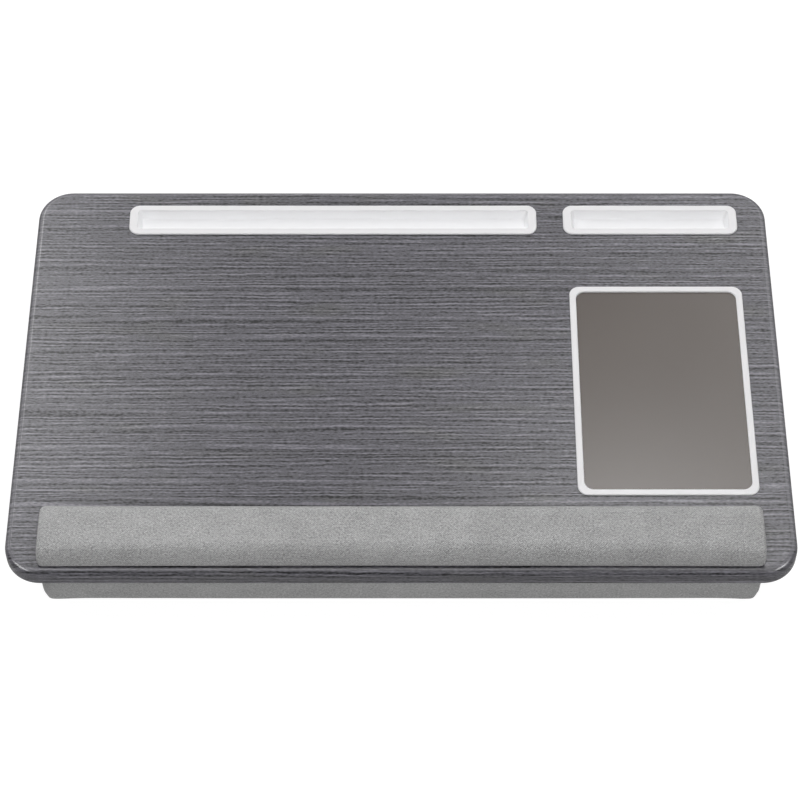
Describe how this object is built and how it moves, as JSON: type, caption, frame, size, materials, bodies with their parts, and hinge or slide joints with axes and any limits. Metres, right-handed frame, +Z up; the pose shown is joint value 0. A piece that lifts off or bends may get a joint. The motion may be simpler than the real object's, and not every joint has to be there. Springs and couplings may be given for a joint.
{
  "type": "lap desk",
  "caption": "Lap desk: grained board with slot trays for a tablet and a phone, a framed mouse pad, a padded fabric wrist rest and a contoured fabric cushion underneath.",
  "frame": {"origin": "middle of the footprint, on the surface that the cushion lies on", "axes": "+X to the user's right along the board, +Y towards its back edge with the slot trays, +Z up"},
  "size_m": [0.59, 0.365, 0.0779],
  "materials": {
    "fibreboard": "raw medium-density fibreboard",
    "grain_foil": "satin grey decor foil with a fine streaked wood grain along X",
    "backing_paper": "matte off-white balancing sheet",
    "white_plastic": "white moulded plastic, satin",
    "foam_tape": "white double-sided foam tape",
    "pad_sheet": "satin warm-grey sheet",
    "dark_foam": "thin black foam underlay",
    "adhesive_film": "clear adhesive film",
    "woven_fabric": "light grey woven fabric with a fine fleck",
    "pale_foam": "pale open-cell foam",
    "hardboard": "thin hardboard"
  },
  "bodies": {
    "root": {"board_core": "fibreboard", "decor_foil": "grain_foil", "backing_sheet": "backing_paper", "tablet_tray": "white_plastic", "tablet_tray_tape": "foam_tape", "phone_tray": "white_plastic", "phone_tray_tape": "foam_tape", "mouse_pad_frame": "white_plastic", "mouse_pad_sheet": "pad_sheet", "mouse_pad_foam": "dark_foam", "mouse_pad_adhesive": "adhesive_film", "wrist_rest_cover": "woven_fabric", "wrist_rest_foam": "pale_foam", "wrist_rest_base": "hardboard", "wrist_rest_tape_front": "foam_tape", "wrist_rest_tape_back": "foam_tape", "cushion_cover": "woven_fabric", "cushion_foam": "pale_foam", "cushion_panel": "hardboard", "cushion_tape_front": "foam_tape", "cushion_tape_back": "foam_tape", "cushion_tape_left": "foam_tape", "cushion_tape_right": "foam_tape"}
  },
  "joints": []
}
